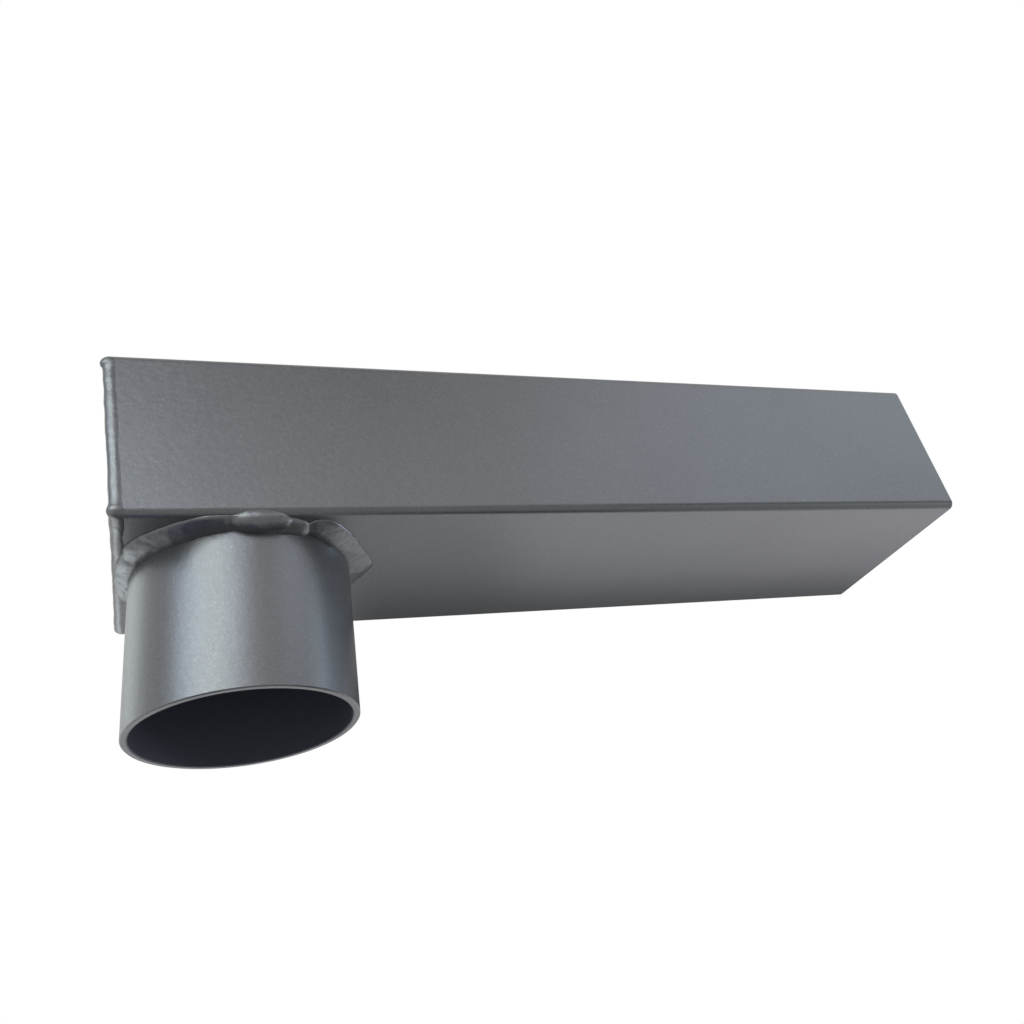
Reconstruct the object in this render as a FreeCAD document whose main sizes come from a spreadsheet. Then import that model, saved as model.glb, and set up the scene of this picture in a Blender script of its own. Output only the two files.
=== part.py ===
import FreeCAD, Part
import math
import os

import Sketcher

# Downpipe shoe: a rectangular box section closed by a welded cap, with a round spigot
# welded under its closed end. The origin is where the spigot's axis meets the underside
# of the box, +X runs along the box to its open mouth and +Z points up.

# Driving dimensions in millimetres, the leans in degrees, with what each one measures
DIMENSIONS = (
    ("box_length", 359, "box section, along its underside from the closed end to the mouth"),
    ("box_width", 92, "box section, over its sides"),
    ("box_height", 68, "box section, over its underside and top"),
    ("box_wall", 2, "box section, wall"),
    ("box_corner", 3, "box section, outer corner radius"),
    ("end_lean", 2, "closed end, lean of its top away from the mouth"),
    ("cap_thickness", 2, "end cap, plate"),
    ("cap_inset", 1, "end cap, margin left for the bead round it"),
    ("cap_bead_depth", 2, "bead round the end cap, from the box's faces to its middle"),
    ("cap_bead_radius", 2.2, "bead round the end cap"),
    ("cap_lump_radius", 2.6, "lump of the bead at each corner of the cap"),
    ("spigot_od", 80, "spigot, outside diameter"),
    ("spigot_wall", 2.5, "spigot, wall"),
    ("spigot_length", 60, "spigot, from the underside to the rim"),
    ("spigot_lean", 3, "spigot, lean of its foot towards the closed end"),
    ("spigot_margin", 3, "from the closed end of the box to the spigot"),
    ("rim_break", 0.4, "broken edge of the spigot's rim"),
    ("weld_face_leg", 7, "weld round the spigot, leg along the underside"),
    ("weld_pipe_leg", 3.8, "weld round the spigot, leg along the spigot"),
    ("weld_edge_gap", 0.4, "weld round the spigot, from its toe to the edges of the box"),
)

# Runs of the weld round the spigot, each laid over the end of the one before. A section of
# a run has its angle about the spigot, 0 towards the mouth and -90 to the front, and its
# legs along the underside and the spigot as shares of the named legs. TO_EDGE is a leg
# that fills the underside as far as the named gap from its edge.
TO_EDGE = None
HAND_LAID_RUNS = (
    (
        (-166, 0.8, 0.6),
        (-146, 0.95, 1.0),
        (-122, 1.2, 1.05),
        (-106, 1.05, 0.95),
        (-94, TO_EDGE, 0.8),
    ),
    (
        (-102, 0.7, 0.7),
        (-86, TO_EDGE, 1.0),
        (-70, 1.05, 1.05),
        (-56, 1.1, 0.8),
    ),
    (
        (-66, 0.55, 0.5),
        (-46, 1.0, 0.9),
        (-25, 0.92, 0.75),
        (-4, 1.3, 1.0),
    ),
)
BACK_RUN = (
    (-12, 0.8, 0.8),
    (24, 0.8, 0.85),
    (60, 0.7, 0.8),
    (96, 0.6, 0.75),
    (132, 0.7, 0.8),
    (168, 0.7, 0.8),
    (202, 0.8, 0.85),
)

# Where the crown of that weld stands, as shares of its legs
CROWN_ALONG_FACE = 0.55
CROWN_ALONG_PIPE = 0.62

# How deep the weld bites before it is trimmed, as shares of the walls it joins
BITE_INTO_BOX = 0.75
BITE_INTO_SPIGOT = 0.4

# Where the closed end starts at the underside, and how much further its top leans out
SETBACK = "(Sizes.spigot_od / 2 + Sizes.spigot_margin)"
OVERHANG = "Sizes.box_height * tan(Sizes.end_lean * 1 deg)"

# The leans turn a sketch about the same axis of the part, which each plane names its own way
LEAN_AXES = {"XY_Plane": FreeCAD.Vector(0, 1, 0), "YZ_Plane": FreeCAD.Vector(-1, 0, 0)}

doc = FreeCAD.newDocument("DownpipeShoe")


def make_sheet():
    sheet = doc.addObject("Spreadsheet::Sheet", "Sizes")
    for row, (alias, value, meaning) in enumerate(DIMENSIONS, start=1):
        sheet.set(f"A{row}", meaning)
        sheet.set(f"B{row}", str(value))
        sheet.setAlias(f"B{row}", alias)
    doc.recompute()
    return sheet


def new_body(label):
    body = doc.addObject("PartDesign::Body", label)
    body.Label = label
    return body


def new_sketch(body, name, role, offset=None, lean=None):
    """A sketch on one of the body's own planes, moved along its normal by an expression."""
    sketch = body.newObject("Sketcher::SketchObject", name)
    planes = {plane.Role: plane for plane in body.Origin.OriginFeatures}
    sketch.AttachmentSupport = (planes[role], [""])
    sketch.MapMode = "FlatFace"
    if lean:
        turn = FreeCAD.Rotation(LEAN_AXES[role], 1)
        sketch.AttachmentOffset = FreeCAD.Placement(FreeCAD.Vector(), turn)
        sketch.setExpression("AttachmentOffset.Rotation.Angle", f"Sizes.{lean} * 1 deg")
    if offset:
        sketch.setExpression("AttachmentOffset.Base.z", offset)
    doc.recompute()
    return sketch


def constrain(sketch, name, expression, *constraint):
    """A named dimension of a sketch that follows an expression."""
    index = sketch.addConstraint(Sketcher.Constraint(*constraint))
    sketch.renameConstraint(index, name)
    sketch.setExpression(f"Constraints.{name}", expression)


def draw_rounded_frame(sketch, width, height, radius, bottom):
    """A rectangle with round corners, centred on the sketch's upright axis."""
    w, h, r = 60.0, 40.0, 2.0
    vec = FreeCAD.Vector
    corners = (
        (vec(w / 2 - r, r, 0), -0.5),
        (vec(w / 2 - r, h - r, 0), 0.0),
        (vec(r - w / 2, h - r, 0), 0.5),
        (vec(r - w / 2, r, 0), 1.0),
    )
    arcs = []
    for centre, turn in corners:
        circle = Part.Circle(centre, vec(0, 0, 1), r)
        quarter = Part.ArcOfCircle(circle, turn * math.pi, (turn + 0.5) * math.pi)
        arcs.append(sketch.addGeometry(quarter))
    sides = []
    for arc, following in zip(arcs, arcs[1:] + arcs[:1]):
        start = sketch.getPoint(arc, 2)
        end = sketch.getPoint(following, 1)
        sides.append(sketch.addGeometry(Part.LineSegment(start, end)))
    right, top, left, base = sides
    for side, arc, following in zip(sides, arcs, arcs[1:] + arcs[:1]):
        sketch.addConstraint(Sketcher.Constraint("Tangent", arc, 2, side, 1))
        sketch.addConstraint(Sketcher.Constraint("Tangent", side, 2, following, 1))
    for arc in arcs[1:]:
        sketch.addConstraint(Sketcher.Constraint("Equal", arcs[0], arc))
    sketch.addConstraint(Sketcher.Constraint("Symmetric", base, 1, base, 2, -2))
    sketch.addConstraint(Sketcher.Constraint("Horizontal", top))
    for side in (left, right):
        sketch.addConstraint(Sketcher.Constraint("Vertical", side))
    constrain(sketch, "radius", radius, "Radius", arcs[0], r)
    constrain(sketch, "width", width, "DistanceX", left, 1, right, 1, w)
    constrain(sketch, "height", height, "DistanceY", base, 1, top, 1, h)
    constrain(sketch, "bottom", bottom, "DistanceY", -1, 1, base, 1, 0.5)
    doc.recompute()


def draw_circle(sketch, name, diameter):
    circle = Part.Circle(FreeCAD.Vector(), FreeCAD.Vector(0, 0, 1), 30)
    index = sketch.addGeometry(circle)
    sketch.addConstraint(Sketcher.Constraint("Coincident", index, 3, -1, 1))
    constrain(sketch, name, diameter, "Diameter", index, 60)
    doc.recompute()


def extrude(body, kind, name, sketch, length, reverse=False, both_ways=False):
    """A pad or a pocket of a sketch whose length follows an expression."""
    before = body.Shape.Volume if body.Tip else 0.0
    feature = body.newObject(f"PartDesign::{kind}", name)
    feature.Profile = sketch
    feature.Reversed = reverse
    if both_ways:
        feature.SideType = "Symmetric"
    feature.setExpression("Length", length)
    doc.recompute()
    if abs(feature.Shape.Volume - before) < 1e-6:
        raise RuntimeError(f"{name} changes nothing")
    return feature


def make_box_block(label):
    """The outside of the box section as one block, its closed end cut at a lean."""
    body = new_body(label)
    start = f"-({SETBACK} + {OVERHANG})"
    outline = new_sketch(body, f"{label}_outline", "YZ_Plane", start)
    draw_rounded_frame(
        outline, "Sizes.box_width", "Sizes.box_height", "Sizes.box_corner", "0"
    )
    extrude(body, "Pad", f"{label}_pad", outline, f"Sizes.box_length + {OVERHANG}")
    line = new_sketch(body, f"{label}_end_line", "YZ_Plane", f"-{SETBACK}", "end_lean")
    draw_circle(line, "reach", "3 * (Sizes.box_width + Sizes.box_height)")
    extrude(body, "Pocket", f"{label}_end_cut", line, "Sizes.box_length")
    return body


def make_box_section():
    body = make_box_block("box_section")
    channel = new_sketch(body, "Channel", "YZ_Plane", f"-({SETBACK} + {OVERHANG})")
    draw_rounded_frame(
        channel,
        "Sizes.box_width - 2 * Sizes.box_wall",
        "Sizes.box_height - 2 * Sizes.box_wall",
        "max(Sizes.box_corner - Sizes.box_wall; Sizes.box_wall / 4)",
        "Sizes.box_wall",
    )
    length = f"Sizes.box_length + {OVERHANG}"
    extrude(body, "Pocket", "ChannelPocket", channel, length, reverse=True)
    hole = new_sketch(body, "SpigotHole", "XY_Plane", lean="spigot_lean")
    draw_circle(hole, "bore", "Sizes.spigot_od - 2 * Sizes.spigot_wall")
    through = "2 * Sizes.box_wall + 2 * Sizes.spigot_od * tan(Sizes.spigot_lean * 1 deg)"
    extrude(body, "Pocket", "SpigotHolePocket", hole, through, both_ways=True)
    return body


def make_end_cap():
    body = new_body("end_cap")
    outline = new_sketch(body, "CapOutline", "YZ_Plane", f"-{SETBACK}", "end_lean")
    draw_rounded_frame(
        outline,
        "Sizes.box_width - 2 * Sizes.cap_inset",
        "Sizes.box_height - 2 * Sizes.cap_inset",
        "max(Sizes.box_corner - Sizes.cap_inset; Sizes.cap_inset / 2)",
        "Sizes.cap_inset",
    )
    extrude(body, "Pad", "CapPad", outline, "Sizes.cap_thickness", reverse=True)
    return body


def make_spigot(sheet):
    """The leaning tube, both its ends cut parallel to the underside of the box."""
    body = new_body("spigot")
    ring = new_sketch(body, "TubeRing", "XY_Plane", lean="spigot_lean")
    draw_circle(ring, "outside", "Sizes.spigot_od")
    draw_circle(ring, "bore", "Sizes.spigot_od - 2 * Sizes.spigot_wall")
    extrude(body, "Pad", "TubePad", ring, "3 * Sizes.spigot_length", both_ways=True)
    cuts = (("Seat", "0", True), ("Rim", "-Sizes.spigot_length", False))
    for name, height, upward in cuts:
        cut = new_sketch(body, f"{name}Line", "XY_Plane", height)
        draw_circle(cut, "reach", "3 * Sizes.spigot_od")
        extrude(body, "Pocket", f"{name}Cut", cut, "2 * Sizes.spigot_length", upward)
    tube = body.Tip
    rim = [
        f"Edge{number}"
        for number, edge in enumerate(tube.Shape.Edges, start=1)
        if abs(edge.BoundBox.ZMax + sheet.spigot_length) < 1e-3
    ]
    broken = body.newObject("PartDesign::Chamfer", "RimBreak")
    broken.Base = (tube, rim)
    broken.setExpression("Size", "Sizes.rim_break")
    doc.recompute()
    return body


def trim(label, laid, pieces):
    """The laid weld metal, cut back to the faces of the pieces it joins."""
    blank = doc.addObject("Part::Feature", f"{label}_as_laid")
    blank.Shape = laid
    joined = doc.addObject("Part::Compound", f"{label}_seat")
    joined.Links = pieces
    weld = doc.addObject("Part::Cut", label)
    weld.Label = label
    weld.Base = blank
    weld.Tool = joined
    doc.recompute()
    return weld


def make_end_cap_weld(sheet, pieces):
    """A bead along the joint of the cap on all four sides, with a lump at each corner."""
    start = -sheet.spigot_od / 2 - sheet.spigot_margin
    slope = math.tan(math.radians(sheet.end_lean))
    side = sheet.box_width / 2 - sheet.cap_bead_depth
    low = sheet.cap_bead_depth
    high = sheet.box_height - sheet.cap_bead_depth
    corners = [
        FreeCAD.Vector(start - up * slope, across, up)
        for across, up in ((-side, low), (side, low), (side, high), (-side, high))
    ]
    lumps = [Part.makeSphere(sheet.cap_lump_radius, corner) for corner in corners]
    sides = []
    for corner, following in zip(corners, corners[1:] + corners[:1]):
        way = following - corner
        sides.append(Part.makeCylinder(sheet.cap_bead_radius, way.Length, corner, way))
    return trim("end_cap_weld", lumps[0].multiFuse(lumps[1:] + sides), pieces)


def ledge(sheet, angle):
    """How far the underside reaches past the spigot at an angle about it."""
    across = abs(math.sin(angle))
    towards_cap = max(-math.cos(angle), 0.0)
    radius = sheet.spigot_od / 2
    side = sheet.box_width / 2 - sheet.weld_edge_gap
    end = radius + sheet.spigot_margin - sheet.weld_edge_gap
    return min(side / max(across, 1e-6), end / max(towards_cap, 1e-6)) - radius


def weld_section(sheet, place, face_share, pipe_share, flat_crown):
    """The weld cut square to its run: two bites into the pieces and a crown."""
    angle = math.radians(place)
    radius = sheet.spigot_od / 2
    face_leg = ledge(sheet, angle)
    if face_share is not TO_EDGE:
        face_leg = min(face_leg, sheet.weld_face_leg * face_share)
    pipe_leg = sheet.weld_pipe_leg * pipe_share
    sunk = sheet.box_wall * BITE_INTO_BOX
    inside = radius - sheet.spigot_wall * BITE_INTO_SPIGOT
    outwards = FreeCAD.Vector(math.cos(angle), math.sin(angle), 0)
    upwards = FreeCAD.Vector(0, 0, 1)
    toe = outwards * (radius + face_leg) + upwards * sunk
    crown = outwards * (radius + face_leg * CROWN_ALONG_FACE)
    crown -= upwards * (pipe_leg * CROWN_ALONG_PIPE)
    foot = outwards * inside - upwards * pipe_leg
    root = outwards * inside + upwards * sunk
    if flat_crown:
        return Part.makePolygon([toe, crown, foot, root, toe])
    lines = (
        Part.Arc(toe, crown, foot),
        Part.LineSegment(foot, root),
        Part.LineSegment(root, toe),
    )
    return Part.Wire([line.toShape() for line in lines])


def weld_run(sheet, run, flat_crown=False):
    """One run of the weld, lofted through its sections."""
    sections = [weld_section(sheet, *section, flat_crown) for section in run]
    return Part.makeLoft(sections, True)


def make_spigot_weld(sheet, pieces):
    runs = [weld_run(sheet, run) for run in HAND_LAID_RUNS]
    back = weld_run(sheet, BACK_RUN, flat_crown=True)
    return trim("spigot_weld", back.multiFuse(runs), pieces)


def write_parts(parts):
    for item in doc.Objects:
        if "Invalid" in item.State or "Error" in item.State:
            raise RuntimeError(f"{item.Label} failed: {item.State}")
    for part in parts:
        if part.Shape.isNull() or not part.Shape.isValid():
            raise RuntimeError(f"{part.Label} has no valid shape")
    os.makedirs("parts", exist_ok=True)
    for part in parts:
        part.Shape.exportStep(f"parts/{part.Label}.step")
        print(part.Label, len(part.Shape.Solids), "solid", round(part.Shape.Volume), "mm3")


def main():
    sheet = make_sheet()
    box_section = make_box_section()
    end_cap = make_end_cap()
    spigot = make_spigot(sheet)
    envelope = make_box_block("box_envelope")
    end_cap_weld = make_end_cap_weld(sheet, [envelope, end_cap])
    spigot_weld = make_spigot_weld(sheet, [envelope, end_cap, spigot, end_cap_weld])
    write_parts([box_section, end_cap, spigot, end_cap_weld, spigot_weld])


main()
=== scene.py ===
import math
import random

import bmesh
import bpy
from bpy.props import FloatProperty, FloatVectorProperty, IntProperty, PointerProperty
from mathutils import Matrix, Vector


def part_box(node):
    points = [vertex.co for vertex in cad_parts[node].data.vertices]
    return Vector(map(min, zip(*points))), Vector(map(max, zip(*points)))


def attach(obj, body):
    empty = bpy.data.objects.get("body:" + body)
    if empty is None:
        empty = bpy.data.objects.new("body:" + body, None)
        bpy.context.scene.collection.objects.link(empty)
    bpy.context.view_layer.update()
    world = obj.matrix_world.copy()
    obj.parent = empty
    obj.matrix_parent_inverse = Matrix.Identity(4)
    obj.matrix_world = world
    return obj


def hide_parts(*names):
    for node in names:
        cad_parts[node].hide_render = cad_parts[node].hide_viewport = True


# A welded downpipe shoe: the box, its cap and the spigot keep their own solids and get a
# metallic powder coat, and the two welds are laid afresh as uneven beads over theirs.

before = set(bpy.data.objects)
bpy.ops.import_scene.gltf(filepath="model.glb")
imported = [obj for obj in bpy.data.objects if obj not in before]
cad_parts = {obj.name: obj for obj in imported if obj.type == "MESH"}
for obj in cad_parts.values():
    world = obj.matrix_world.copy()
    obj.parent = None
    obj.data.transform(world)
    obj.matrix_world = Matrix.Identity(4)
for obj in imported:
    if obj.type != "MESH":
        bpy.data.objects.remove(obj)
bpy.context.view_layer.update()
SPIGOT_LOW, SPIGOT_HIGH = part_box("spigot")
BOX_LOW, BOX_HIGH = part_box("box_section")
_, CAP_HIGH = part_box("end_cap")
END_LEAN = math.radians(2)
SPIGOT_LEAN = math.radians(3)

bl_info = {
    "name": "Downpipe shoe",
    "version": (1, 0, 0),
    "blender": (4, 5, 0),
    "location": "View3D > Sidebar > Shoe",
    "description": "Lays the welds, coats the shell and sets the stage for a downpipe shoe",
    "category": "Object",
}

MM = 0.001


class ShoeSizes(bpy.types.PropertyGroup):
    """Sizes of the welds."""

    spigot_radius: FloatProperty(
        name="Spigot radius",
        description="Outside radius of the spigot that the weld goes round",
        default=(SPIGOT_HIGH.y - SPIGOT_LOW.y) / 2,
        unit="LENGTH",
    )
    weld_sunk: FloatProperty(
        name="Weld sunk",
        description="How far the weld lies in the metal it joins",
        default=1.4 * MM,
        unit="LENGTH",
    )
    weld_crown: FloatProperty(
        name="Weld crown",
        description="Roundness of the spigot's weld, 0.73 for a flat one and 1 for a round one",
        subtype="FACTOR",
        min=0.6,
        max=1,
        default=0.8,
    )
    weld_grain: FloatProperty(
        name="Weld grain",
        description="Spacing of the finished weld's mesh",
        default=0.42 * MM,
        unit="LENGTH",
    )
    weld_unevenness: FloatProperty(
        name="Weld unevenness",
        description="Height of the small lumps in both welds",
        default=0.6 * MM,
        unit="LENGTH",
    )
    end_lean: FloatProperty(
        name="End lean",
        description="Lean of the closed end away from the mouth",
        default=END_LEAN,
        unit="ROTATION",
    )
    cap_bead_depth: FloatProperty(
        name="Cap bead depth",
        description="From the faces of the box to the middle of the cap's bead",
        default=2.0 * MM,
        unit="LENGTH",
    )
    cap_bead: FloatProperty(
        name="Cap bead",
        description="Radius of the bead round the end cap",
        default=2.3 * MM,
        unit="LENGTH",
    )


class ShoeCoat(bpy.types.PropertyGroup):
    """Colours of the powder coat, and the painted shade of its inside."""

    coat: FloatVectorProperty(
        name="Coat",
        description="Colour of the metallic powder coat",
        subtype="COLOR",
        size=3,
        min=0,
        max=1,
        default=(0.145, 0.147, 0.15),
    )
    flake: FloatVectorProperty(
        name="Flake",
        description="Colour of the bright flakes in the coat",
        subtype="COLOR",
        size=3,
        min=0,
        max=1,
        default=(0.28, 0.285, 0.29),
    )
    # Painted shade: the inside of the spigot and the box gets this dark, bluish colour, which
    # stands in for the shade in there
    hollow: FloatVectorProperty(
        name="Hollow",
        description="Colour of the thinly coated inside",
        subtype="COLOR",
        size=3,
        min=0,
        max=1,
        default=(0.036, 0.037, 0.052),
    )
    roughness: FloatProperty(
        name="Roughness",
        description="Roughness of the coat",
        subtype="FACTOR",
        min=0,
        max=1,
        default=0.36,
    )


class ShoeStage(bpy.types.PropertyGroup):
    """Floor, light and camera."""

    floor_height: FloatProperty(
        name="Floor height",
        description="Height of the floor under the shoe",
        default=-0.32,
        unit="LENGTH",
    )
    light: FloatProperty(
        name="Light",
        description="Strength of all lamps together",
        default=1.0,
    )
    lens: FloatProperty(
        name="Lens",
        description="Focal length of the camera in millimetres",
        default=33.1454,
    )
    camera_place: FloatVectorProperty(
        name="Camera place",
        description="Where the camera stands",
        subtype="TRANSLATION",
        size=3,
        default=(-0.03797116, -0.32627965, -0.17374959),
    )
    camera_turn: FloatVectorProperty(
        name="Camera turn",
        description="How the camera is turned",
        subtype="EULER",
        size=3,
        default=(math.radians(119.881), math.radians(11.87), math.radians(-18.541)),
    )
    seed: IntProperty(
        name="Seed",
        description="Seed of the unevenness of the welds",
        default=7,
    )


# Modelling helpers

BEAD_SIDES = 12
# On a bead's round section of radius 1, a point further out than this lies on an axis
OFF_AXES = 0.95
LUMP_FINENESS = 3
# How a weld's skin is softened, before and after its small lumps are raised
SOFTEN_SHARE = 0.5
SOFTEN_FIRST = 8
SOFTEN_LAST = 2
# Small lumps raised in a weld: name, spacing in millimetres and share of the unevenness
SMALL_LUMPS = (("broad", 6.0, 1.0), ("fine", 2.2, 0.2))


def start_piece():
    """Deselects everything before a new primitive is added."""
    if bpy.context.mode != "OBJECT":
        bpy.ops.object.mode_set(mode="OBJECT")
    bpy.ops.object.select_all(action="DESELECT")


def finish_mesh(name):
    """Leaves edit mode with the faces of the new mesh pointing outwards."""
    bpy.ops.mesh.select_all(action="SELECT")
    bpy.ops.mesh.normals_make_consistent(inside=False)
    bpy.ops.object.mode_set(mode="OBJECT")
    piece = bpy.context.active_object
    piece.name = name
    return piece


def use(piece, kind, **settings):
    """Adds a modifier with these settings and applies it."""
    bpy.ops.object.select_all(action="DESELECT")
    piece.select_set(True)
    bpy.context.view_layer.objects.active = piece
    modifier = piece.modifiers.new(kind.title(), kind)
    for setting, value in settings.items():
        setattr(modifier, setting, value)
    bpy.ops.object.modifier_apply(modifier=modifier.name)


def select_points(test):
    """Selects the points of the mesh in edit mode whose place passes a test."""
    mesh = bpy.context.edit_object.data
    points = bmesh.from_edit_mesh(mesh)
    for point in points.verts:
        point.select_set(test(point.co))
    bmesh.update_edit_mesh(mesh)


def draw_bead(name, turn, stations, cuts, crown=1.0):
    """A bead drawn out through stations of a centre and a half size, with its section cut flat
    where it lies in the metal. A crown of 1 is round, and less makes a flatter bead."""
    start_piece()
    centre, size = stations[0]
    bpy.ops.mesh.primitive_circle_add(
        vertices=BEAD_SIDES, radius=1, fill_type="NGON", location=centre, rotation=turn
    )
    bpy.ops.object.transform_apply(location=True, rotation=True, scale=True)
    bpy.ops.object.mode_set(mode="EDIT")
    select_points(lambda place: max(abs(part) for part in place - centre) < OFF_AXES)
    bpy.ops.transform.resize(value=(crown, crown, crown), center_override=centre)
    bpy.ops.mesh.select_all(action="SELECT")
    bpy.ops.transform.resize(value=size, center_override=centre)
    for depth, normal in cuts:
        bpy.ops.mesh.select_all(action="SELECT")
        bpy.ops.mesh.bisect(
            plane_co=centre + normal * depth, plane_no=normal, clear_outer=True
        )
    bpy.ops.mesh.select_all(action="SELECT")
    for following, half in stations[1:]:
        bpy.ops.mesh.extrude_region_move(
            TRANSFORM_OT_translate={"value": following - centre}
        )
        ratio = [new / old for new, old in zip(half, size)]
        bpy.ops.transform.resize(value=ratio, center_override=following)
        centre, size = following, half
    return finish_mesh(name)


def draw_lump(name, middle, half, edge, inward):
    """A round lump of weld, cut off where it would come out inside the metal."""
    start_piece()
    bpy.ops.mesh.primitive_ico_sphere_add(
        subdivisions=LUMP_FINENESS, radius=1, location=middle
    )
    bpy.ops.object.transform_apply(location=True, rotation=True, scale=True)
    bpy.ops.object.mode_set(mode="EDIT")
    bpy.ops.mesh.select_all(action="SELECT")
    bpy.ops.transform.resize(value=half, center_override=middle)
    bpy.ops.mesh.bisect(plane_co=edge, plane_no=inward, use_fill=True, clear_outer=True)
    return finish_mesh(name)


def join_pieces(name, parts):
    """Joins beads to one object."""
    bpy.ops.object.select_all(action="DESELECT")
    for part in parts:
        part.select_set(True)
    bpy.context.view_layer.objects.active = parts[0]
    bpy.ops.object.join()
    piece = bpy.context.active_object
    piece.name = name
    piece.data.name = name
    return piece


def flow_together(piece, grain, unevenness):
    """Lets joined beads flow into one skin with soft creases and small lumps."""
    use(piece, "REMESH", mode="VOXEL", voxel_size=grain, use_smooth_shade=True)
    use(piece, "SMOOTH", factor=SOFTEN_SHARE, iterations=SOFTEN_FIRST)
    for name, spacing, share in SMALL_LUMPS:
        lumps = bpy.data.textures.new(f"{piece.name}_{name}_lumps", "CLOUDS")
        lumps.noise_scale = spacing * MM
        lumps.noise_depth = 1
        use(
            piece,
            "DISPLACE",
            texture=lumps,
            texture_coords="LOCAL",
            strength=unevenness * share,
            mid_level=0.5,
        )
    use(piece, "SMOOTH", factor=SOFTEN_SHARE, iterations=SOFTEN_LAST)
    bpy.ops.object.shade_smooth()


def dress(piece, material, node):
    """Gives a piece its coat and lets it stand for its solid."""
    piece.data.materials.clear()
    piece.data.materials.append(material)
    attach(piece, "root")
    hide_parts(node)


# Coat

METAL_SHARE = 0.85
SHELL_PEEL = 0.1
WELD_PEEL = 0.2
# Scales of the coat's patterns, higher for finer ones
CLOUD_SCALE = 22.0
MOTTLE_SCALE = 750.0
FLAKE_SCALE = 3000.0
PEEL_SCALE = 420.0
# Where a pattern starts and ends to show, and its least and most share
CLOUD_RANGE = (0.3, 0.7, 0.0, 1.0)
MOTTLE_RANGE = (0.35, 0.65, 0.0, 0.1)
SPARKLE_RANGE = (0.86, 1.0, 0.0, 0.32)
DIM_RANGE = (0.75, 1.0, 0.0, 0.3)
# How much brighter or darker than the plain colour the patterns are
CLOUD_LEVELS = (0.97, 1.03)
MOTTLE_LEVEL = 1.4
DIM_LEVEL = 0.7
# Levels of the inside's painted shade, which is mottled between them
HOLLOW_SHADE_LEVELS = (0.8, 1.2)
# How the roughness changes over the mottle and inside
ROUGH_LIMITS = (0.3, 0.7)
ROUGH_SPREAD = 0.03
HOLLOW_ROUGHER = 0.2
# Fine relief of the flakes and of the orange peel
FLAKE_BUMP = 0.05
FLAKE_DEPTH = 0.2 * MM
PEEL_DEPTH = 0.6 * MM
# Depths below the outside at which the inside's painted shade, rougher and less metallic, is
# full and is gone
SPIGOT_SHADE_FULL = 2.3 * MM
SPIGOT_SHADE_GONE = 1.8 * MM
BOX_SHADE_DEPTH = 1.5 * MM

TREE_KINDS = {
    "coords": "ShaderNodeTexCoord",
    "noise": "ShaderNodeTexNoise",
    "flakes": "ShaderNodeTexVoronoi",
    "range": "ShaderNodeMapRange",
    "mix": "ShaderNodeMix",
    "sum": "ShaderNodeMath",
    "split": "ShaderNodeSeparateXYZ",
    "split_colour": "ShaderNodeSeparateColor",
    "bump": "ShaderNodeBump",
    "shader": "ShaderNodeBsdfPrincipled",
    "output": "ShaderNodeOutputMaterial",
}


class Coat:
    """The node tree of one coat material, built up node by node."""

    def __init__(self, name):
        self.material = bpy.data.materials.new(name)
        self.material.use_nodes = True
        self.tree = self.material.node_tree
        self.tree.nodes.clear()

    def add(self, kind, **settings):
        """Adds a node with these settings."""
        made = self.tree.nodes.new(TREE_KINDS[kind])
        for setting, value in settings.items():
            setattr(made, setting, value)
        return made

    def feed(self, socket, value):
        """Sets a socket, or links it to another node's output."""
        if isinstance(value, bpy.types.NodeSocket):
            self.tree.links.new(value, socket)
        else:
            socket.default_value = value

    def math(self, operation, first, second=0.0):
        """Reckons with one or two values."""
        made = self.add("sum", operation=operation)
        self.feed(made.inputs[0], first)
        self.feed(made.inputs[1], second)
        return made.outputs[0]

    def blend(self, factor, first, second):
        """Blends two colours."""
        made = self.add("mix", data_type="RGBA")
        self.feed(made.inputs["Factor"], factor)
        for socket, value in ((made.inputs[6], first), (made.inputs[7], second)):
            self.feed(socket, value)
        return made.outputs[2]

    def ramp(self, value, low, high, to_low, to_high):
        """Carries a value from one range to another and stops at its ends."""
        made = self.add("range", clamp=True)
        limits = (value, low, high, to_low, to_high)
        names = ("Value", "From Min", "From Max", "To Min", "To Max")
        for name, limit in zip(names, limits):
            self.feed(made.inputs[name], limit)
        return made.outputs["Result"]

    def noise(self, coords, scale, detail=2.0):
        """A cloudy pattern."""
        made = self.add("noise")
        self.feed(made.inputs["Vector"], coords)
        self.feed(made.inputs["Scale"], scale)
        self.feed(made.inputs["Detail"], detail)
        return made.outputs["Fac"]


def rgba(colour, level=1.0):
    """A colour made brighter or darker, as a colour socket takes it."""
    return (*[min(part * level, 1.0) for part in colour], 1.0)


def spigot_shade_mask(coat, x, y, z):
    """1 inside the leaning spigot, where the coat is painted dark as shade, 0 on its outside."""
    lean = math.tan(SPIGOT_LEAN)
    across = coat.math("SUBTRACT", x, coat.math("MULTIPLY", z, lean))
    square = coat.math("ADD", coat.math("POWER", across, 2.0), coat.math("POWER", y, 2.0))
    radius = coat.math("SQRT", square)
    outside = bpy.context.scene.shoe_sizes.spigot_radius
    return coat.ramp(radius, outside - SPIGOT_SHADE_FULL, outside - SPIGOT_SHADE_GONE, 1.0, 0.0)


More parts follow.
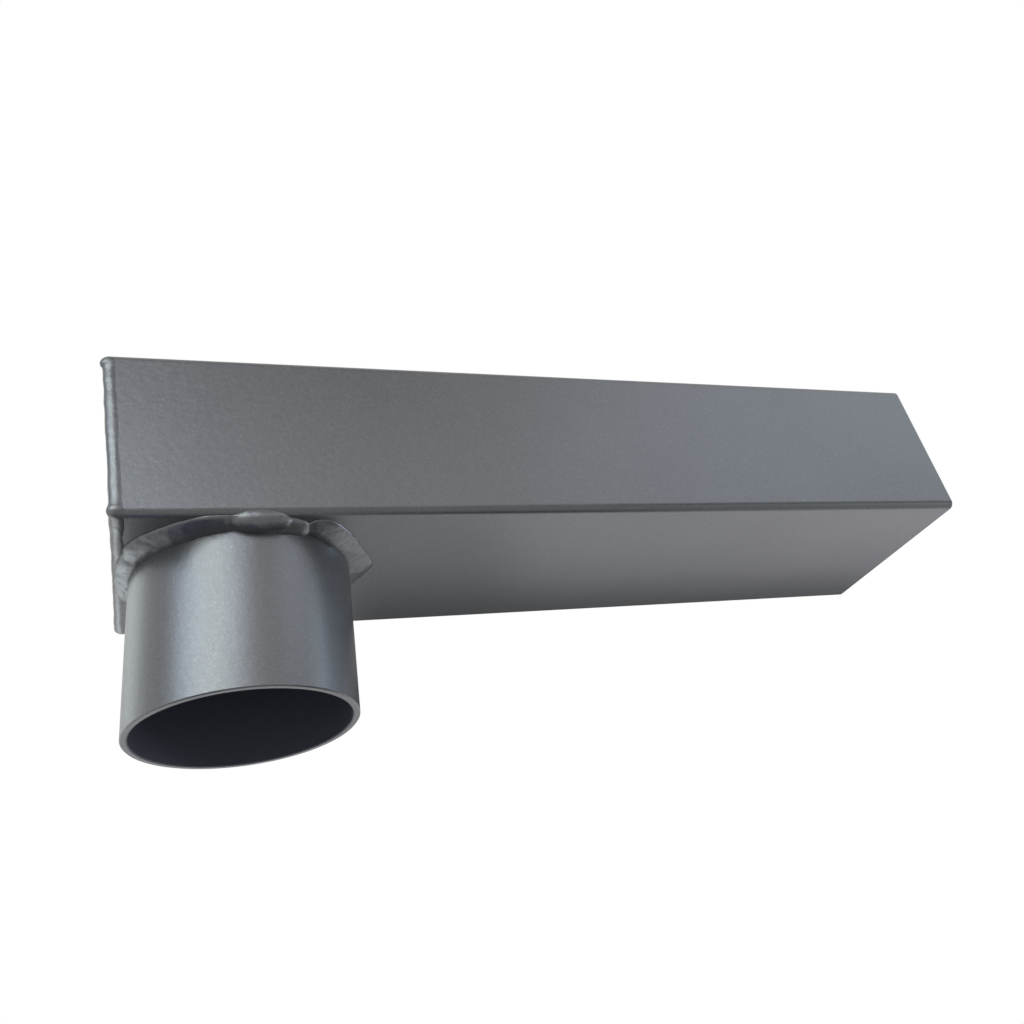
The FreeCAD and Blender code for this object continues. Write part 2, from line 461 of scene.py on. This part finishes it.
def box_shade_mask(coat, x, y, z):
    """1 on the inside of the box section and of its cap, where the coat is painted dark as
    shade, 0 on the outside.
    """
    wall = BOX_SHADE_DEPTH
    across = coat.math("ABSOLUTE", y)
    side = coat.ramp(across, BOX_HIGH.y - wall, BOX_HIGH.y - wall / 2, 1.0, 0.0)
    base = coat.ramp(z, wall / 2, wall, 0.0, 1.0)
    top = coat.ramp(z, BOX_HIGH.z - wall, BOX_HIGH.z - wall / 2, 1.0, 0.0)
    upright = coat.math("ADD", x, coat.math("MULTIPLY", z, math.tan(END_LEAN)))
    end = coat.ramp(upright, CAP_HIGH.x - wall / 2, CAP_HIGH.x - wall / 4, 0.0, 1.0)
    mouth = coat.ramp(x, BOX_HIGH.x - wall, BOX_HIGH.x - wall / 2, 1.0, 0.0)
    inside = coat.math("MULTIPLY", side, coat.math("MULTIPLY", base, top))
    return coat.math("MULTIPLY", inside, coat.math("MULTIPLY", end, mouth))


def make_coat(name, peel, hollow=None):
    """Metallic grey powder coat: fine bright flakes in a mottled base, a slight orange peel
    and an inside painted dark as shade, which is also rougher and less metallic."""
    colours = bpy.context.scene.shoe_coat
    coat = Coat(name)
    coords = coat.add("coords").outputs["Object"]
    clouds = coat.noise(coords, CLOUD_SCALE, 3.0)
    mottle = coat.noise(coords, MOTTLE_SCALE, 3.0)
    flakes = coat.add("flakes")
    coat.feed(flakes.inputs["Vector"], coords)
    coat.feed(flakes.inputs["Scale"], FLAKE_SCALE)
    parts = coat.add("split_colour")
    coat.feed(parts.inputs[0], flakes.outputs["Color"])
    sparkle = coat.ramp(parts.outputs[0], *SPARKLE_RANGE)
    dim = coat.ramp(parts.outputs[1], *DIM_RANGE)
    dark, pale = [rgba(colours.coat, level) for level in CLOUD_LEVELS]
    base = coat.blend(coat.ramp(clouds, *CLOUD_RANGE), dark, pale)
    grainy = rgba(colours.coat, MOTTLE_LEVEL)
    base = coat.blend(coat.ramp(mottle, *MOTTLE_RANGE), base, grainy)
    base = coat.blend(dim, base, rgba(colours.coat, DIM_LEVEL))
    base = coat.blend(sparkle, base, rgba(colours.flake))
    smoothest = colours.roughness - ROUGH_SPREAD
    roughest = colours.roughness + ROUGH_SPREAD
    rough = coat.ramp(mottle, *ROUGH_LIMITS, smoothest, roughest)
    metal = METAL_SHARE
    if hollow:
        place = coat.add("split")
        coat.feed(place.inputs[0], coords)
        inside = hollow(coat, *place.outputs)
        # The inside gets the dark painted shade colour, mottled, and is also rougher and less
        # metallic
        dark, pale = [rgba(colours.hollow, level) for level in HOLLOW_SHADE_LEVELS]
        base = coat.blend(inside, base, coat.blend(mottle, dark, pale))
        rough = coat.math("ADD", rough, coat.math("MULTIPLY", inside, HOLLOW_ROUGHER))
        metal = coat.math("MULTIPLY", coat.math("SUBTRACT", 1.0, inside), METAL_SHARE)
    waves = coat.noise(coords, PEEL_SCALE)
    grains = coat.add("bump")
    coat.feed(grains.inputs["Height"], parts.outputs[2])
    coat.feed(grains.inputs["Strength"], FLAKE_BUMP)
    coat.feed(grains.inputs["Distance"], FLAKE_DEPTH)
    skin = coat.add("bump")
    coat.feed(skin.inputs["Height"], waves)
    coat.feed(skin.inputs["Strength"], peel)
    coat.feed(skin.inputs["Distance"], PEEL_DEPTH)
    coat.feed(skin.inputs["Normal"], grains.outputs["Normal"])
    shader = coat.add("shader")
    coat.feed(shader.inputs["Base Color"], base)
    coat.feed(shader.inputs["Metallic"], metal)
    coat.feed(shader.inputs["Roughness"], rough)
    coat.feed(shader.inputs["Normal"], skin.outputs["Normal"])
    output = coat.add("output")
    coat.feed(output.inputs["Surface"], shader.outputs["BSDF"])
    return coat.material


class SHOE_OT_coat_shell(bpy.types.Operator):
    """Coats the box section, its cap and the spigot, with painted shade inside"""

    bl_idname = "shoe.coat_shell"
    bl_label = "Coat the shell"
    bl_options = {"REGISTER", "UNDO"}

    def execute(self, context):
        # Both coats have their inside painted dark as shade
        box_coat_and_shade = make_coat("box_coat_and_shade", SHELL_PEEL, box_shade_mask)
        spigot_coat_and_shade = make_coat("spigot_coat_and_shade", SHELL_PEEL, spigot_shade_mask)
        coats = {"box_section": box_coat_and_shade, "end_cap": box_coat_and_shade, "spigot": spigot_coat_and_shade}
        for node, material in coats.items():
            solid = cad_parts[node]
            if not solid.data.materials:
                raise RuntimeError(f"{node} has no material slot")
            solid.material_slots[0].material = material
        return {"FINISHED"}


# Spigot weld

# Runs of the weld: angle about the spigot in degrees, 0 towards the mouth and -90 to the front,
# with the legs along the underside and along the spigot in millimetres
LEFT_PAD = (
    (-204, 3.0, 1.2),
    (-198, 5.6, 1.8),
    (-191, 6.2, 2.2),
    (-184, 6.0, 2.4),
    (-176, 6.0, 2.4),
    (-168, 6.4, 2.4),
    (-161, 7.2, 2.6),
    (-154, 8.2, 2.6),
    (-148, 8.6, 2.6),
    (-142, 6.4, 2.0),
)
LEFT_LUMP = (
    (-154, 5.0, 1.6),
    (-149, 8.4, 2.4),
    (-144, 9.8, 2.9),
    (-139, 10.2, 3.3),
    (-135, 9.8, 3.8),
    (-132, 8.2, 4.2),
    (-130, 5.0, 3.2),
)
LEFT_RUN = (
    (-155, 5.6, 2.0),
    (-150, 9.2, 2.8),
    (-144, 10.2, 3.2),
    (-137, 10.0, 3.8),
    (-130, 9.6, 4.3),
    (-123, 9.2, 4.4),
    (-115, 9.2, 4.0),
    (-107, 8.4, 3.6),
    (-99, 7.0, 3.4),
    (-93, 5.6, 2.8),
    (-88, 2.8, 1.6),
)
MIDDLE_RUN = (
    (-107, 2.8, 1.6),
    (-101, 6.0, 3.0),
    (-94, 7.2, 4.2),
    (-86, 7.0, 4.8),
    (-79, 6.6, 4.8),
    (-72, 6.8, 4.6),
    (-66, 6.8, 4.4),
    (-62, 5.6, 4.0),
    (-59, 3.2, 2.4),
)
RIGHT_RUN = (
    (-63, 6.0, 1.4),
    (-60, 9.6, 2.4),
    (-55, 11.2, 3.2),
    (-48, 10.4, 3.6),
    (-40, 9.4, 3.6),
    (-31, 8.6, 3.0),
    (-23, 8.4, 2.6),
    (-16, 9.8, 2.8),
    (-10, 11.6, 3.2),
    (-6, 10.8, 3.2),
    (0, 8.2, 2.8),
    (8, 5.4, 2.0),
    (14, 3.6, 1.4),
)
# The left lump stands up rounder than the other runs
LUMP_CROWN = 0.95
# Plainer runs round the back: start and end in degrees, and the two legs in millimetres
BACK_RUNS = ((-4, 98, 5.4, 3.2), (90, 182, 4.8, 3.1))
BACK_STEP = 7
BACK_TAPER = 0.45
FACE_WANDER = (0.88, 1.1)
PIPE_WANDER = (0.88, 1.12)
# The lump where the weld fills the rounded front edge of the box: its middle, its half sizes and
# a point of the slanting cut that keeps it out of the box, in millimetres, and the way into it
EDGE_LUMP = ((2.6, -42.0, -0.1), (11.0, 4.2, 4.4), (0, -44.5, 1.5))
EDGE_INWARD = Vector((0, 1, 1))


def even_run(start, end, face_leg, pipe_leg, rolls):
    """A run round the back whose legs wander a little, tapered at both ends."""
    stations = []
    steps = round((end - start) / BACK_STEP)
    for step in range(steps + 1):
        taper = BACK_TAPER if step in (0, steps) else 1.0
        stations.append(
            (
                start + (end - start) * step / steps,
                face_leg * taper * rolls.uniform(*FACE_WANDER),
                pipe_leg * taper * rolls.uniform(*PIPE_WANDER),
            )
        )
    return stations


class SHOE_OT_lay_spigot_weld(bpy.types.Operator):
    """Lays the hand-made weld round the spigot in overlapping runs"""

    bl_idname = "shoe.lay_spigot_weld"
    bl_label = "Lay the spigot weld"
    bl_options = {"REGISTER", "UNDO"}

    def execute(self, context):
        sizes = context.scene.shoe_sizes
        rolls = random.Random(context.scene.shoe_stage.seed)
        runs = (
            LEFT_PAD,
            LEFT_LUMP,
            LEFT_RUN,
            MIDDLE_RUN,
            RIGHT_RUN,
            *[even_run(*run, rolls) for run in BACK_RUNS],
        )
        beads = []
        for number, run in enumerate(runs):
            crown = LUMP_CROWN if run is LEFT_LUMP else sizes.weld_crown
            beads.append(self.lay_run(sizes, number, run, crown))
        middle, half, cut = [Vector(part) * MM for part in EDGE_LUMP]
        beads.append(draw_lump("spigot_edge_lump", middle, half, cut, EDGE_INWARD))
        weld = join_pieces("laid_spigot_weld", beads)
        flow_together(weld, sizes.weld_grain, sizes.weld_unevenness)
        material = make_coat("spigot_weld_coat", WELD_PEEL)
        dress(weld, material, "spigot_weld")
        return {"FINISHED"}

    def lay_run(self, sizes, number, run, crown):
        """One run, laid straight along X and then wrapped round the spigot."""
        radius = sizes.spigot_radius
        stations = []
        for angle, face_leg, pipe_leg in sorted(run, reverse=True):
            along = radius * math.radians(90 - angle)
            stations.append((Vector((along, 0, 0)), (1.0, face_leg * MM, pipe_leg * MM)))
        cuts = (
            (sizes.weld_sunk, Vector((0, 0, 1))),
            (sizes.weld_sunk, Vector((0, -1, 0))),
        )
        turn = (0, math.pi / 2, 0)
        bead = draw_bead(f"spigot_run_{number}", turn, stations, cuts, crown)
        reach = stations[-1][0].x - stations[0][0].x
        use(bead, "SUBSURF", levels=2, render_levels=2)
        use(
            bead,
            "SIMPLE_DEFORM",
            deform_method="BEND",
            deform_axis="Z",
            angle=-reach / radius,
        )
        bpy.ops.transform.translate(value=(0, radius, 0))
        bpy.ops.object.transform_apply(location=True, rotation=True, scale=True)
        return bead


# Cap bead

# Lumps at the corners of the cap, low front, low back, high back and high front: radius and
# shifts along and up in millimetres, and how much longer and taller than wide they all are
CORNER_LUMPS = (
    (2.6, 0.1, 0.7),
    (2.2, 0.5, 0.5),
    (2.3, 0.2, -0.8),
    (2.6, 0.1, -1.5),
)
LUMP_STRETCH = Vector((1.3, 1.0, 1.15))
# Each side of the bead is drawn in steps, swells towards its corners and wanders a little
SIDE_STEPS = 14
SIDE_SWELL = 0.1
SIDE_WANDER = 0.05
SIDE_CUT = 0.05 * MM
# All sides but the top are wider along the box and lie further in, and the top one is thinner
SIDE_WIDER = 1.3
SIDE_INSET = Vector((0.6 * MM, 0, 0))
TOP_THINNER = 0.84
# Share of the unevenness that this calmer weld has
CAP_UNEVENNESS = 0.45


class SHOE_OT_lay_cap_bead(bpy.types.Operator):
    """Lays the bead round the end cap, with a lump at each corner"""

    bl_idname = "shoe.lay_cap_bead"
    bl_label = "Lay the cap bead"
    bl_options = {"REGISTER", "UNDO"}

    def execute(self, context):
        sizes = context.scene.shoe_sizes
        rolls = random.Random(context.scene.shoe_stage.seed + 1)
        side = BOX_HIGH.y - sizes.cap_bead_depth
        low = sizes.cap_bead_depth
        high = BOX_HIGH.z - sizes.cap_bead_depth
        slope = math.tan(sizes.end_lean)
        closed = BOX_LOW.x + BOX_HIGH.z * slope
        corners = [
            Vector((closed - up * slope, across, up))
            for across, up in ((-side, low), (side, low), (side, high), (-side, high))
        ]
        beads = []
        for number, corner in enumerate(corners):
            following = corners[(number + 1) % 4]
            beads.append(self.lay_side(sizes, number, corner, following, rolls))
            beads.append(self.lay_lump(number, corner))
        weld = join_pieces("laid_cap_bead", beads)
        flow_together(weld, sizes.weld_grain, sizes.weld_unevenness * CAP_UNEVENNESS)
        material = make_coat("cap_bead_coat", WELD_PEEL)
        dress(weld, material, "end_cap_weld")
        return {"FINISHED"}

    def lay_side(self, sizes, number, corner, following, rolls):
        """One side of the bead, a little hollow between its corners."""
        way = following - corner
        middle = (corner + following) / 2
        upright = abs(way.z) > abs(way.y)
        on_top = not upright and middle.z > BOX_HIGH.z / 2
        thinner = TOP_THINNER if on_top else 1.0
        wider = 1.0 if on_top else SIDE_WIDER
        inset = Vector() if on_top else SIDE_INSET
        height = middle.z - BOX_HIGH.z / 2
        outward = Vector((0, middle.y, 0)) if upright else Vector((0, 0, height))
        stations = []
        for step in range(SIDE_STEPS + 1):
            share = step / SIDE_STEPS
            wander = rolls.uniform(-SIDE_WANDER, SIDE_WANDER)
            swell = 1.0 + SIDE_SWELL * (2 * share - 1) ** 4 + wander
            radius = sizes.cap_bead * swell * thinner
            wide = radius * wider
            half = (wide, radius, 1.0) if upright else (wide, 1.0, radius)
            stations.append((corner + inset + way * share, half))
        turn = (0, 0, 0) if upright else (math.pi / 2, 0, 0)
        inward = (Vector((1, 0, 0)) - outward.normalized()).normalized()
        return draw_bead(f"cap_side_{number}", turn, stations, ((SIDE_CUT, inward),))

    def lay_lump(self, number, corner):
        """The lump at one corner, where two sides of the bead meet."""
        radius, along, up = [part * MM for part in CORNER_LUMPS[number]]
        middle = corner + Vector((along, 0, up))
        upper = corner.z - BOX_HIGH.z / 2
        inward = Vector((1, -math.copysign(1, corner.y), -math.copysign(1, upper)))
        return draw_lump(f"cap_lump_{number}", middle, LUMP_STRETCH * radius, corner, inward)


# Stage

# Soft lamps that face the shoe: azimuth from the front towards the mouth and elevation in
# degrees, width in metres, power in watts and colour
LAMPS = (
    ("key", -36, 26, 0.9, 7.15, (0.88, 1.0, 0.99)),
    ("key_left", -60, 24, 0.55, 2.65, (0.64, 0.8, 1.0)),
    ("key_front", -12, 24, 0.5, 1.85, (0.77, 0.83, 1.0)),
    ("right", 45, 28, 0.7, 0.98, (0.6, 0.74, 1.0)),
    ("right_far", 78, 22, 0.6, 1.47, (0.56, 0.76, 1.0)),
    ("right_low", 95, -8, 0.5, 4.8, (0.57, 0.73, 1.0)),
    ("back_left", -130, 24, 0.7, 1.35, (0.84, 0.98, 1.0)),
    ("back_low", 155, -9, 0.4, 0.4, (1.0, 0.85, 0.86)),
    ("back_low_right", 130, -9, 0.4, 0.2, (1.0, 0.82, 0.8)),
)
LAMP_DISTANCE = 1.5
LAMP_AIM = Vector((0.08, 0, 0))

# Lamps that lie on the floor behind the shoe and face upwards: place and size in metres, power
# in watts and colour
FLOOR_LAMPS = (
    ("floor_left", (-0.38, 0.8), (0.4, 0.5), 2.2, (0.83, 0.95, 1.0)),
    ("floor_mid", (0.3, 0.42), (0.4, 0.3), 0.22, (0.95, 1.0, 0.97)),
    ("floor_right", (0.75, 0.42), (0.5, 0.3), 0.36, (0.84, 0.82, 1.0)),
)
FLOOR_LAMP_LIFT = 10 * MM


def grey(level):
    """A colour without a tint."""
    return (level, level, level)


# Dark cards that only the coat mirrors: place and size in metres, turn in degrees and colour
CARDS = (
    ("left", (-1.287, -0.096, 0.61), (0.6, 1.1), (90, 0, 90), grey(0.72)),
    ("front_low", (0.375, -0.95, -0.16), (1.35, 0.32), (90, 0, 0), grey(0.4)),
    ("front_right", (0.8, -0.75, 0.1), (0.64, 0.22), (90, 0, 38.7), grey(0.0)),
    ("front_high", (0.223, -1.018, 1.226), (0.9, 0.566), (45, 0, 0), grey(0.3)),
    ("mat", (0.2, -0.35, -0.315), (1.1, 0.9), (0, 0, 0), grey(0.55)),
    ("mat_left", (-0.09, -0.03, -0.313), (0.2, 0.2), (0, 0, 0), (0.02, 0.02, 0.17)),
    ("mat_back", (0.23, 0.01, -0.311), (0.22, 0.24), (0, 0, 0), grey(0.05)),
    ("back_right", (0.8, 1.05, 0.42), (1.3, 0.75), (90, 0, -40), grey(0.3)),
    ("back_strip", (0.29, 0.1, -0.025), (0.46, 0.05), (90, 0, 0), grey(0.12)),
    ("back_low", (0.13, 0.2, -0.1), (0.14, 0.2), (90, 0, 0), grey(0.83)),
)

FLOOR_RADIUS = 1.3
FLOOR_SIDES = 96
FLOOR_COLOUR = grey(0.9)
FLOOR_ROUGHNESS = 0.9
# How much of the floor is background: from the share round the shoe to all of it at the rim
FLOOR_FADE = (("From Min", 0.4), ("From Max", 1.2), ("To Min", 0.8), ("To Max", 1.0))

# The soft light from all round
SKY_COLOUR = (0.97, 0.98, 1.0)
SKY_STRENGTH = 0.45

SENSOR_WIDTH = 36
NEAREST_VIEW = 0.01


def add_background_rays(tree):
    """1 for the rays that show the white background: straight, mirrored and seen through."""
    path = tree.nodes.new("ShaderNodeLightPath")
    share = path.outputs["Is Camera Ray"]
    for name in ("Is Glossy Ray", "Is Transmission Ray"):
        either = tree.nodes.new("ShaderNodeMath")
        either.operation = "MAXIMUM"
        tree.links.new(share, either.inputs[0])
        tree.links.new(path.outputs[name], either.inputs[1])
        share = either.outputs[0]
    return share


class SHOE_OT_set_stage(bpy.types.Operator):
    """Sets the floor, the light and the camera"""

    bl_idname = "shoe.set_stage"
    bl_label = "Set the stage"
    bl_options = {"REGISTER", "UNDO"}

    def execute(self, context):
        stage = context.scene.shoe_stage
        self.lay_floor(stage)
        self.stand_cards()
        self.hang_lamps(stage)
        self.light_world(context.scene)
        self.place_camera(context.scene, stage)
        context.scene.view_settings.view_transform = "Standard"
        return {"FINISHED"}

    def lay_floor(self, stage):
        """A white floor that keeps the shoe's shadow and fades to the background."""
        start_piece()
        bpy.ops.mesh.primitive_circle_add(
            vertices=FLOOR_SIDES,
            radius=FLOOR_RADIUS,
            fill_type="NGON",
            location=(0, 0, stage.floor_height),
        )
        floor = bpy.context.active_object
        floor.name = "floor"
        paint = bpy.data.materials.new("floor_white")
        paint.use_nodes = True
        tree = paint.node_tree
        shader = tree.nodes["Principled BSDF"]
        shader.inputs["Base Color"].default_value = (*FLOOR_COLOUR, 1)
        shader.inputs["Roughness"].default_value = FLOOR_ROUGHNESS
        glow = tree.nodes.new("ShaderNodeEmission")
        glow.inputs["Color"].default_value = (1, 1, 1, 1)
        coords = tree.nodes.new("ShaderNodeTexCoord")
        reach = tree.nodes.new("ShaderNodeVectorMath")
        reach.operation = "LENGTH"
        tree.links.new(coords.outputs["Object"], reach.inputs[0])
        fade = tree.nodes.new("ShaderNodeMapRange")
        for name, value in FLOOR_FADE:
            fade.inputs[name].default_value = value
        tree.links.new(reach.outputs["Value"], fade.inputs["Value"])
        share = tree.nodes.new("ShaderNodeMath")
        share.operation = "MULTIPLY"
        tree.links.new(add_background_rays(tree), share.inputs[0])
        tree.links.new(fade.outputs["Result"], share.inputs[1])
        mix = tree.nodes.new("ShaderNodeMixShader")
        tree.links.new(share.outputs[0], mix.inputs[0])
        tree.links.new(shader.outputs[0], mix.inputs[1])
        tree.links.new(glow.outputs[0], mix.inputs[2])
        tree.links.new(mix.outputs[0], tree.nodes["Material Output"].inputs["Surface"])
        floor.data.materials.append(paint)

    def stand_cards(self):
        """Cards round the shoe that only its coat mirrors."""
        for name, place, size, turn, colour in CARDS:
            start_piece()
            bpy.ops.mesh.primitive_plane_add(
                size=1, location=place, rotation=[math.radians(part) for part in turn]
            )
            card = bpy.context.active_object
            card.name = f"card_{name}"
            card.scale = (*size, 1)
            paint = bpy.data.materials.new(f"card_{name}")
            paint.use_nodes = True
            tree = paint.node_tree
            tree.nodes.remove(tree.nodes["Principled BSDF"])
            face = tree.nodes.new("ShaderNodeEmission")
            face.inputs["Color"].default_value = (*colour, 1)
            tree.links.new(face.outputs[0], tree.nodes["Material Output"].inputs["Surface"])
            card.data.materials.append(paint)
            card.visible_camera = False
            card.visible_diffuse = False
            card.visible_transmission = False
            card.visible_shadow = False

    def hang_lamps(self, stage):
        """The soft lamps round the shoe and those on the floor."""
        for name, azimuth, elevation, size, power, colour in LAMPS:
            turn, lift = math.radians(azimuth), math.radians(elevation)
            way = Vector((math.sin(turn), -math.cos(turn), math.tan(lift))).normalized()
            holder = self.add_lamp(name, "DISK", size, power * stage.light, colour)
            holder.location = LAMP_AIM + way * LAMP_DISTANCE
            holder.rotation_euler = (-way).to_track_quat("-Z", "Y").to_euler()
        for name, place, size, power, colour in FLOOR_LAMPS:
            holder = self.add_lamp(name, "RECTANGLE", size[0], power * stage.light, colour)
            holder.data.size_y = size[1]
            holder.location = (*place, stage.floor_height + FLOOR_LAMP_LIFT)
            holder.rotation_euler = (math.pi, 0, 0)

    def add_lamp(self, name, shape, size, power, colour):
        """One soft lamp that the camera doesn't see."""
        lamp = bpy.data.lights.new(name, "AREA")
        lamp.shape = shape
        lamp.size = size
        lamp.energy = power
        lamp.color = colour
        holder = bpy.data.objects.new(name, lamp)
        holder.visible_camera = False
        bpy.context.scene.collection.objects.link(holder)
        return holder

    def light_world(self, scene):
        """Soft light from all round, in front of a white background."""
        world = bpy.data.worlds.new("studio")
        scene.world = world
        world.use_nodes = True
        tree = world.node_tree
        soft = tree.nodes["Background"]
        soft.inputs["Color"].default_value = (*SKY_COLOUR, 1)
        soft.inputs["Strength"].default_value = SKY_STRENGTH
        white = tree.nodes.new("ShaderNodeBackground")
        white.inputs["Color"].default_value = (1, 1, 1, 1)
        mix = tree.nodes.new("ShaderNodeMixShader")
        tree.links.new(add_background_rays(tree), mix.inputs[0])
        tree.links.new(soft.outputs[0], mix.inputs[1])
        tree.links.new(white.outputs[0], mix.inputs[2])
        tree.links.new(mix.outputs[0], tree.nodes["World Output"].inputs["Surface"])

    def place_camera(self, scene, stage):
        """The camera at the photo's angle."""
        lens = bpy.data.cameras.new("photo_view")
        lens.sensor_fit = "HORIZONTAL"
        lens.sensor_width = SENSOR_WIDTH
        lens.lens = stage.lens
        lens.clip_start = NEAREST_VIEW
        camera = bpy.data.objects.new("photo_view", lens)
        camera.location = stage.camera_place
        camera.rotation_euler = stage.camera_turn
        scene.collection.objects.link(camera)
        scene.camera = camera


class SHOE_PT_panel(bpy.types.Panel):
    """Lists the steps that make the shoe"""

    bl_label = "Downpipe shoe"
    bl_idname = "SHOE_PT_panel"
    bl_space_type = "VIEW_3D"
    bl_region_type = "UI"
    bl_category = "Shoe"

    def draw(self, context):
        for step in STEPS:
            self.layout.operator(step.bl_idname)
        for holder in GROUPS:
            group = getattr(context.scene, holder)
            column = self.layout.column()
            for name in group.__annotations__:
                column.prop(group, name)


STEPS = (
    SHOE_OT_coat_shell,
    SHOE_OT_lay_spigot_weld,
    SHOE_OT_lay_cap_bead,
    SHOE_OT_set_stage,
)
GROUPS = {"shoe_sizes": ShoeSizes, "shoe_coat": ShoeCoat, "shoe_stage": ShoeStage}


def register():
    for group in GROUPS.values():
        bpy.utils.register_class(group)
    for name, group in GROUPS.items():
        setattr(bpy.types.Scene, name, PointerProperty(type=group))
    for step in STEPS + (SHOE_PT_panel,):
        bpy.utils.register_class(step)


def unregister():
    for step in (SHOE_PT_panel,) + STEPS:
        bpy.utils.unregister_class(step)
    for name, group in GROUPS.items():
        delattr(bpy.types.Scene, name)
        bpy.utils.unregister_class(group)


def main():
    register()
    bpy.ops.shoe.coat_shell()
    bpy.ops.shoe.lay_spigot_weld()
    bpy.ops.shoe.lay_cap_bead()
    bpy.ops.shoe.set_stage()


if __name__ == "__main__":
    main()
